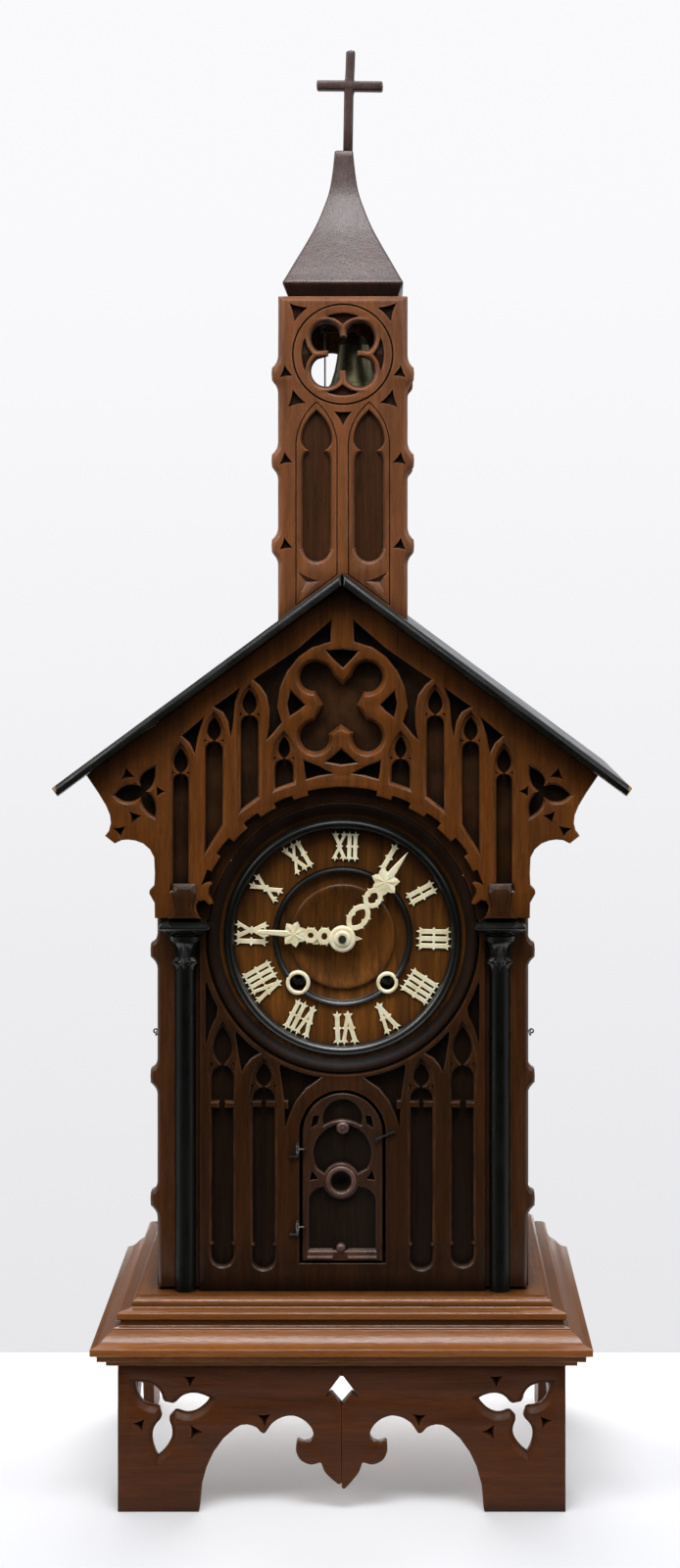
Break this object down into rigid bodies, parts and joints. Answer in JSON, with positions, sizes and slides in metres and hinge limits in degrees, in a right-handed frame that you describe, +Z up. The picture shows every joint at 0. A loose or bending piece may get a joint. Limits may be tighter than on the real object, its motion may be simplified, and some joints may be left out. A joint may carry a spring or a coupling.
{
  "type": "automaton shelf clock",
  "caption": "Gothic chapel-shaped wooden shelf clock with a dial in the gable front, a small door with a bell-ringing figure behind it, and a tower with a bell and spire.",
  "frame": {"origin": "on the floor below the middle of the object's box", "axes": "+Z up, -Y out of the clock's front, +X to the right of someone who looks at the dial"},
  "size_m": [0.392, 0.215, 0.996],
  "materials": {
    "walnut_wood": "stained limewood, oiled, worn to orange brown on the edges",
    "tower_wood": "stained reddish brown, dull",
    "black_wood": "ebonised, satin, scuffed",
    "bone": "carved bone, satin",
    "brass": "brass, lightly tarnished",
    "steel": "dull iron and steel wire",
    "bell_metal": "cast bell metal, greenish tarnish",
    "figure_wood": "carved and painted wood"
  },
  "bodies": {
    "case": {"foot_front_left": "walnut_wood", "foot_front_right": "walnut_wood", "foot_side_left": "walnut_wood", "foot_side_right": "walnut_wood", "plinth_lower": "walnut_wood", "plinth_upper": "walnut_wood", "facade_board": "walnut_wood", "facade_tracery": "walnut_wood", "gable_tracery": "walnut_wood", "column_left": "black_wood", "column_right": "black_wood", "case_side_left": "walnut_wood", "case_side_right": "walnut_wood", "case_back": "walnut_wood", "roof_left": "black_wood", "roof_right": "black_wood", "tower_front": "tower_wood", "tower_side_left": "tower_wood", "tower_side_right": "tower_wood", "tower_back": "tower_wood", "spire": "tower_wood", "cross": "tower_wood", "dial_board": "tower_wood", "dial_bezel": "black_wood", "numerals": "bone", "winding_grommets": "bone", "seat_board": "walnut_wood", "movement_frame": "brass", "gong_post": "walnut_wood", "gong": "steel", "niche": "walnut_wood", "monk_figure": "figure_wood", "bell_bracket": "walnut_wood", "hinge_pins": "steel"},
    "front_door": {"door_panel": "walnut_wood", "door_tracery": "walnut_wood"},
    "door_latch": {"door_latch": "steel"},
    "side_door_left": {"side_door_left": "walnut_wood"},
    "side_door_right": {"side_door_right": "walnut_wood"},
    "side_latch_left": {"side_latch_left": "steel"},
    "side_latch_right": {"side_latch_right": "steel"},
    "back_door": {"back_door": "walnut_wood"},
    "minute_arbor": {"minute_hand": "bone", "hand_nut": "bone", "centre_arbor": "brass"},
    "hour_pipe": {"hour_hand": "bone", "hour_wheel": "brass"},
    "minute_wheel": {"minute_wheel": "brass"},
    "going_great_wheel": {"going_great_wheel": "brass"},
    "third_wheel": {"third_wheel": "brass"},
    "escape_wheel": {"escape_wheel": "brass"},
    "strike_great_wheel": {"strike_great_wheel": "brass"},
    "pin_wheel": {"pin_wheel": "brass"},
    "fly": {"fly": "brass"},
    "pendulum": {"pendulum": "brass"},
    "hammer": {"hammer": "steel"},
    "monk_arms": {"monk_arms": "figure_wood"},
    "pull_wire": {"pull_wire": "steel"},
    "bell": {"bell": "bell_metal"},
    "clapper": {"clapper": "steel"}
  },
  "joints": [
    {"name": "front_door_hinge", "type": "hinge", "parent": "case", "child": "front_door", "pos_m": [-0.0306, -0.0722, 0.21], "axis": [0, 0, -1], "range_deg": [0, 100]},
    {"name": "door_latch_turn", "type": "hinge", "parent": "front_door", "child": "door_latch", "pos_m": [0.023, -0.07, 0.2424], "axis": [0, 1, 0], "range_deg": [-15, 100]},
    {"name": "side_door_left_hinge", "type": "hinge", "parent": "case", "child": "side_door_left", "pos_m": [-0.1297, 0.0794, 0.31], "axis": [0, 0, -1], "range_deg": [0, 100]},
    {"name": "side_door_right_hinge", "type": "hinge", "parent": "case", "child": "side_door_right", "pos_m": [0.1297, 0.0794, 0.31], "axis": [0, 0, 1], "range_deg": [0, 100]},
    {"name": "side_latch_left_turn", "type": "hinge", "parent": "side_door_left", "child": "side_latch_left", "pos_m": [-0.129, -0.034, 0.308], "axis": [1, 0, 0], "range_deg": [0, 95]},
    {"name": "side_latch_right_turn", "type": "hinge", "parent": "side_door_right", "child": "side_latch_right", "pos_m": [0.129, -0.034, 0.308], "axis": [1, 0, 0], "range_deg": [0, 95]},
    {"name": "back_door_hinge", "type": "hinge", "parent": "case", "child": "back_door", "pos_m": [-0.0895, 0.1002, 0.317], "axis": [0, 0, 1], "range_deg": [0, 100]},
    {"name": "minute_hand_turn", "type": "hinge", "parent": "case", "child": "minute_arbor", "pos_m": [0, -0.06, 0.3792], "axis": [0, 1, 0], "continuous": true},
    {"name": "hour_hand_turn", "type": "hinge", "parent": "case", "child": "hour_pipe", "pos_m": [0, -0.06, 0.3792], "axis": [0, 1, 0], "continuous": true},
    {"name": "minute_wheel_turn", "type": "hinge", "parent": "case", "child": "minute_wheel", "pos_m": [0.018, -0.052, 0.3792], "axis": [0, 1, 0], "continuous": true},
    {"name": "going_great_wheel_turn", "type": "hinge", "parent": "case", "child": "going_great_wheel", "pos_m": [0.0305, -0.025, 0.34783], "axis": [0, 1, 0], "continuous": true},
    {"name": "third_wheel_turn", "type": "hinge", "parent": "case", "child": "third_wheel", "pos_m": [-0.0048, -0.025, 0.40638], "axis": [0, 1, 0], "continuous": true},
    {"name": "escape_wheel_turn", "type": "hinge", "parent": "case", "child": "escape_wheel", "pos_m": [0, -0.025, 0.4273], "axis": [0, 1, 0], "continuous": true},
    {"name": "strike_great_wheel_turn", "type": "hinge", "parent": "case", "child": "strike_great_wheel", "pos_m": [-0.0305, -0.025, 0.34783], "axis": [0, 1, 0], "continuous": true},
    {"name": "pin_wheel_turn", "type": "hinge", "parent": "case", "child": "pin_wheel", "pos_m": [-0.0381, -0.025, 0.39092], "axis": [0, 1, 0], "continuous": true},
    {"name": "fly_turn", "type": "hinge", "parent": "case", "child": "fly", "pos_m": [-0.0319, -0.025, 0.4141], "axis": [0, 1, 0], "continuous": true},
    {"name": "pendulum_swing", "type": "hinge", "parent": "case", "child": "pendulum", "pos_m": [0, -0.01, 0.4473], "axis": [0, 1, 0], "range_deg": [-4, 4]},
    {"name": "hammer_swing", "type": "hinge", "parent": "case", "child": "hammer", "pos_m": [-0.062, 0, 0.3772], "axis": [0, 1, 0], "range_deg": [0, 12], "stiffness_Nm_per_rad": 0.02, "springref_deg": -20.05},
    {"name": "bell_swing", "type": "hinge", "parent": "case", "child": "bell", "pos_m": [0.007, -0.017, 0.8], "axis": [0, 1, 0], "range_deg": [-13.6, 0]},
    {"name": "monk_arms_pull", "type": "hinge", "parent": "case", "child": "monk_arms", "pos_m": [0.007, 0.001, 0.212], "axis": [0, 1, 0], "range_deg": [-13.6, 0]},
    {"name": "pull_wire_slide", "type": "slide", "parent": "case", "child": "pull_wire", "axis": [0, 0, 1], "range_m": [-0.005, 0]},
    {"name": "clapper_swing", "type": "hinge", "parent": "bell", "child": "clapper", "pos_m": [0.007, -0.017, 0.792], "axis": [0, 1, 0], "range_deg": [-20, 20]}
  ],
  "couplings": [
    {"joint": "hour_hand_turn", "follows": "minute_hand_turn", "ratio": 0.083333},
    {"joint": "minute_wheel_turn", "follows": "minute_hand_turn", "ratio": -0.33333},
    {"joint": "going_great_wheel_turn", "follows": "minute_hand_turn", "ratio": -0.16667},
    {"joint": "third_wheel_turn", "follows": "minute_hand_turn", "ratio": -10.5},
    {"joint": "escape_wheel_turn", "follows": "minute_hand_turn", "ratio": 102.38},
    {"joint": "pin_wheel_turn", "follows": "strike_great_wheel_turn", "ratio": -6},
    {"joint": "fly_turn", "follows": "strike_great_wheel_turn", "ratio": 54},
    {"joint": "monk_arms_pull", "follows": "bell_swing", "ratio": 1},
    {"joint": "pull_wire_slide", "follows": "bell_swing", "m_per_rad": 0.021}
  ]
}
